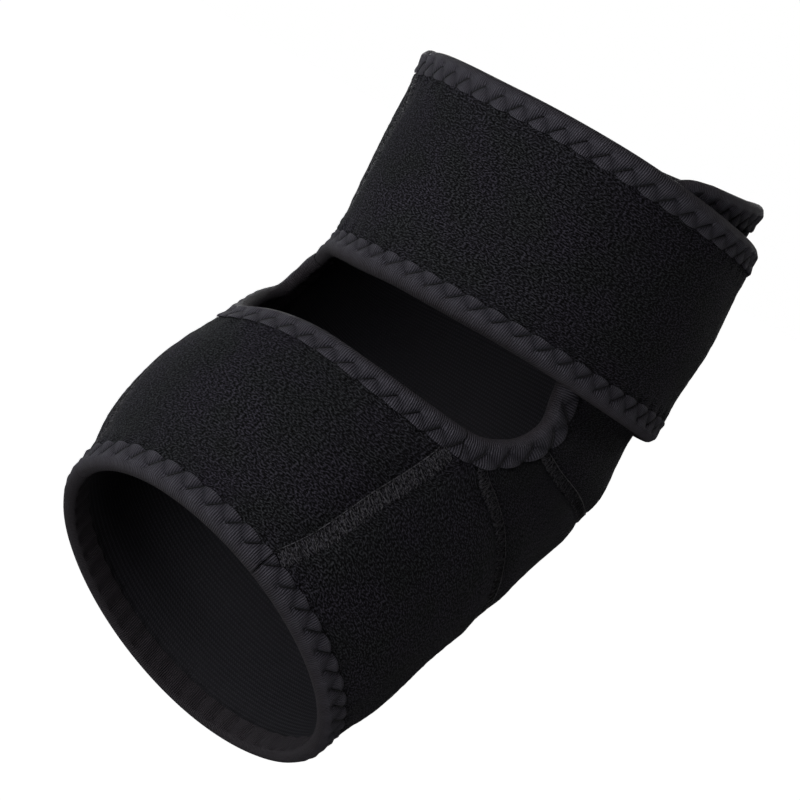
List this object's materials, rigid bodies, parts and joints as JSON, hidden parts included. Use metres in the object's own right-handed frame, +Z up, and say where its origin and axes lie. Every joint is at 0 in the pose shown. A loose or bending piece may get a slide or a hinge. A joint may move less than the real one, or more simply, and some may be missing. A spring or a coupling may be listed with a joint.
{
  "type": "elbow support",
  "caption": "Pile-faced cloth sleeve for a bent elbow, open at the inner elbow, with a wide fastening strap round the upper arm.",
  "frame": {"origin": "centre of the elbow: the point where the axes of the upper-arm tube and the forearm tube cross", "axes": "+Z up the upper arm, -Y to the inner elbow with the window, +X to the side where the upper strap laps over the panel"},
  "size_m": [0.1039, 0.15, 0.1835],
  "materials": {
    "pile_cloth": "black loop pile on foam, soft and dull",
    "knit_tape": "black fine-ribbed knit tape, slight sheen",
    "seam_thread": "black flat stitching",
    "hook_tape": "black hook fastener"
  },
  "bodies": {
    "root": {"upper_panel": "pile_cloth", "elbow_gusset": "pile_cloth", "lower_panel": "pile_cloth", "lower_strap": "pile_cloth", "upper_strap": "pile_cloth", "hook_patch": "hook_tape", "gusset_seam_upper": "seam_thread", "gusset_seam_lower": "seam_thread", "lower_strap_seam_near": "seam_thread", "lower_strap_seam_far": "seam_thread", "upper_strap_seam": "seam_thread", "body_binding": "knit_tape", "lower_strap_binding": "knit_tape", "window_binding_far": "knit_tape", "upper_strap_binding": "knit_tape", "cuff_binding_strap": "knit_tape", "cuff_binding_panel": "knit_tape"}
  },
  "joints": []
}
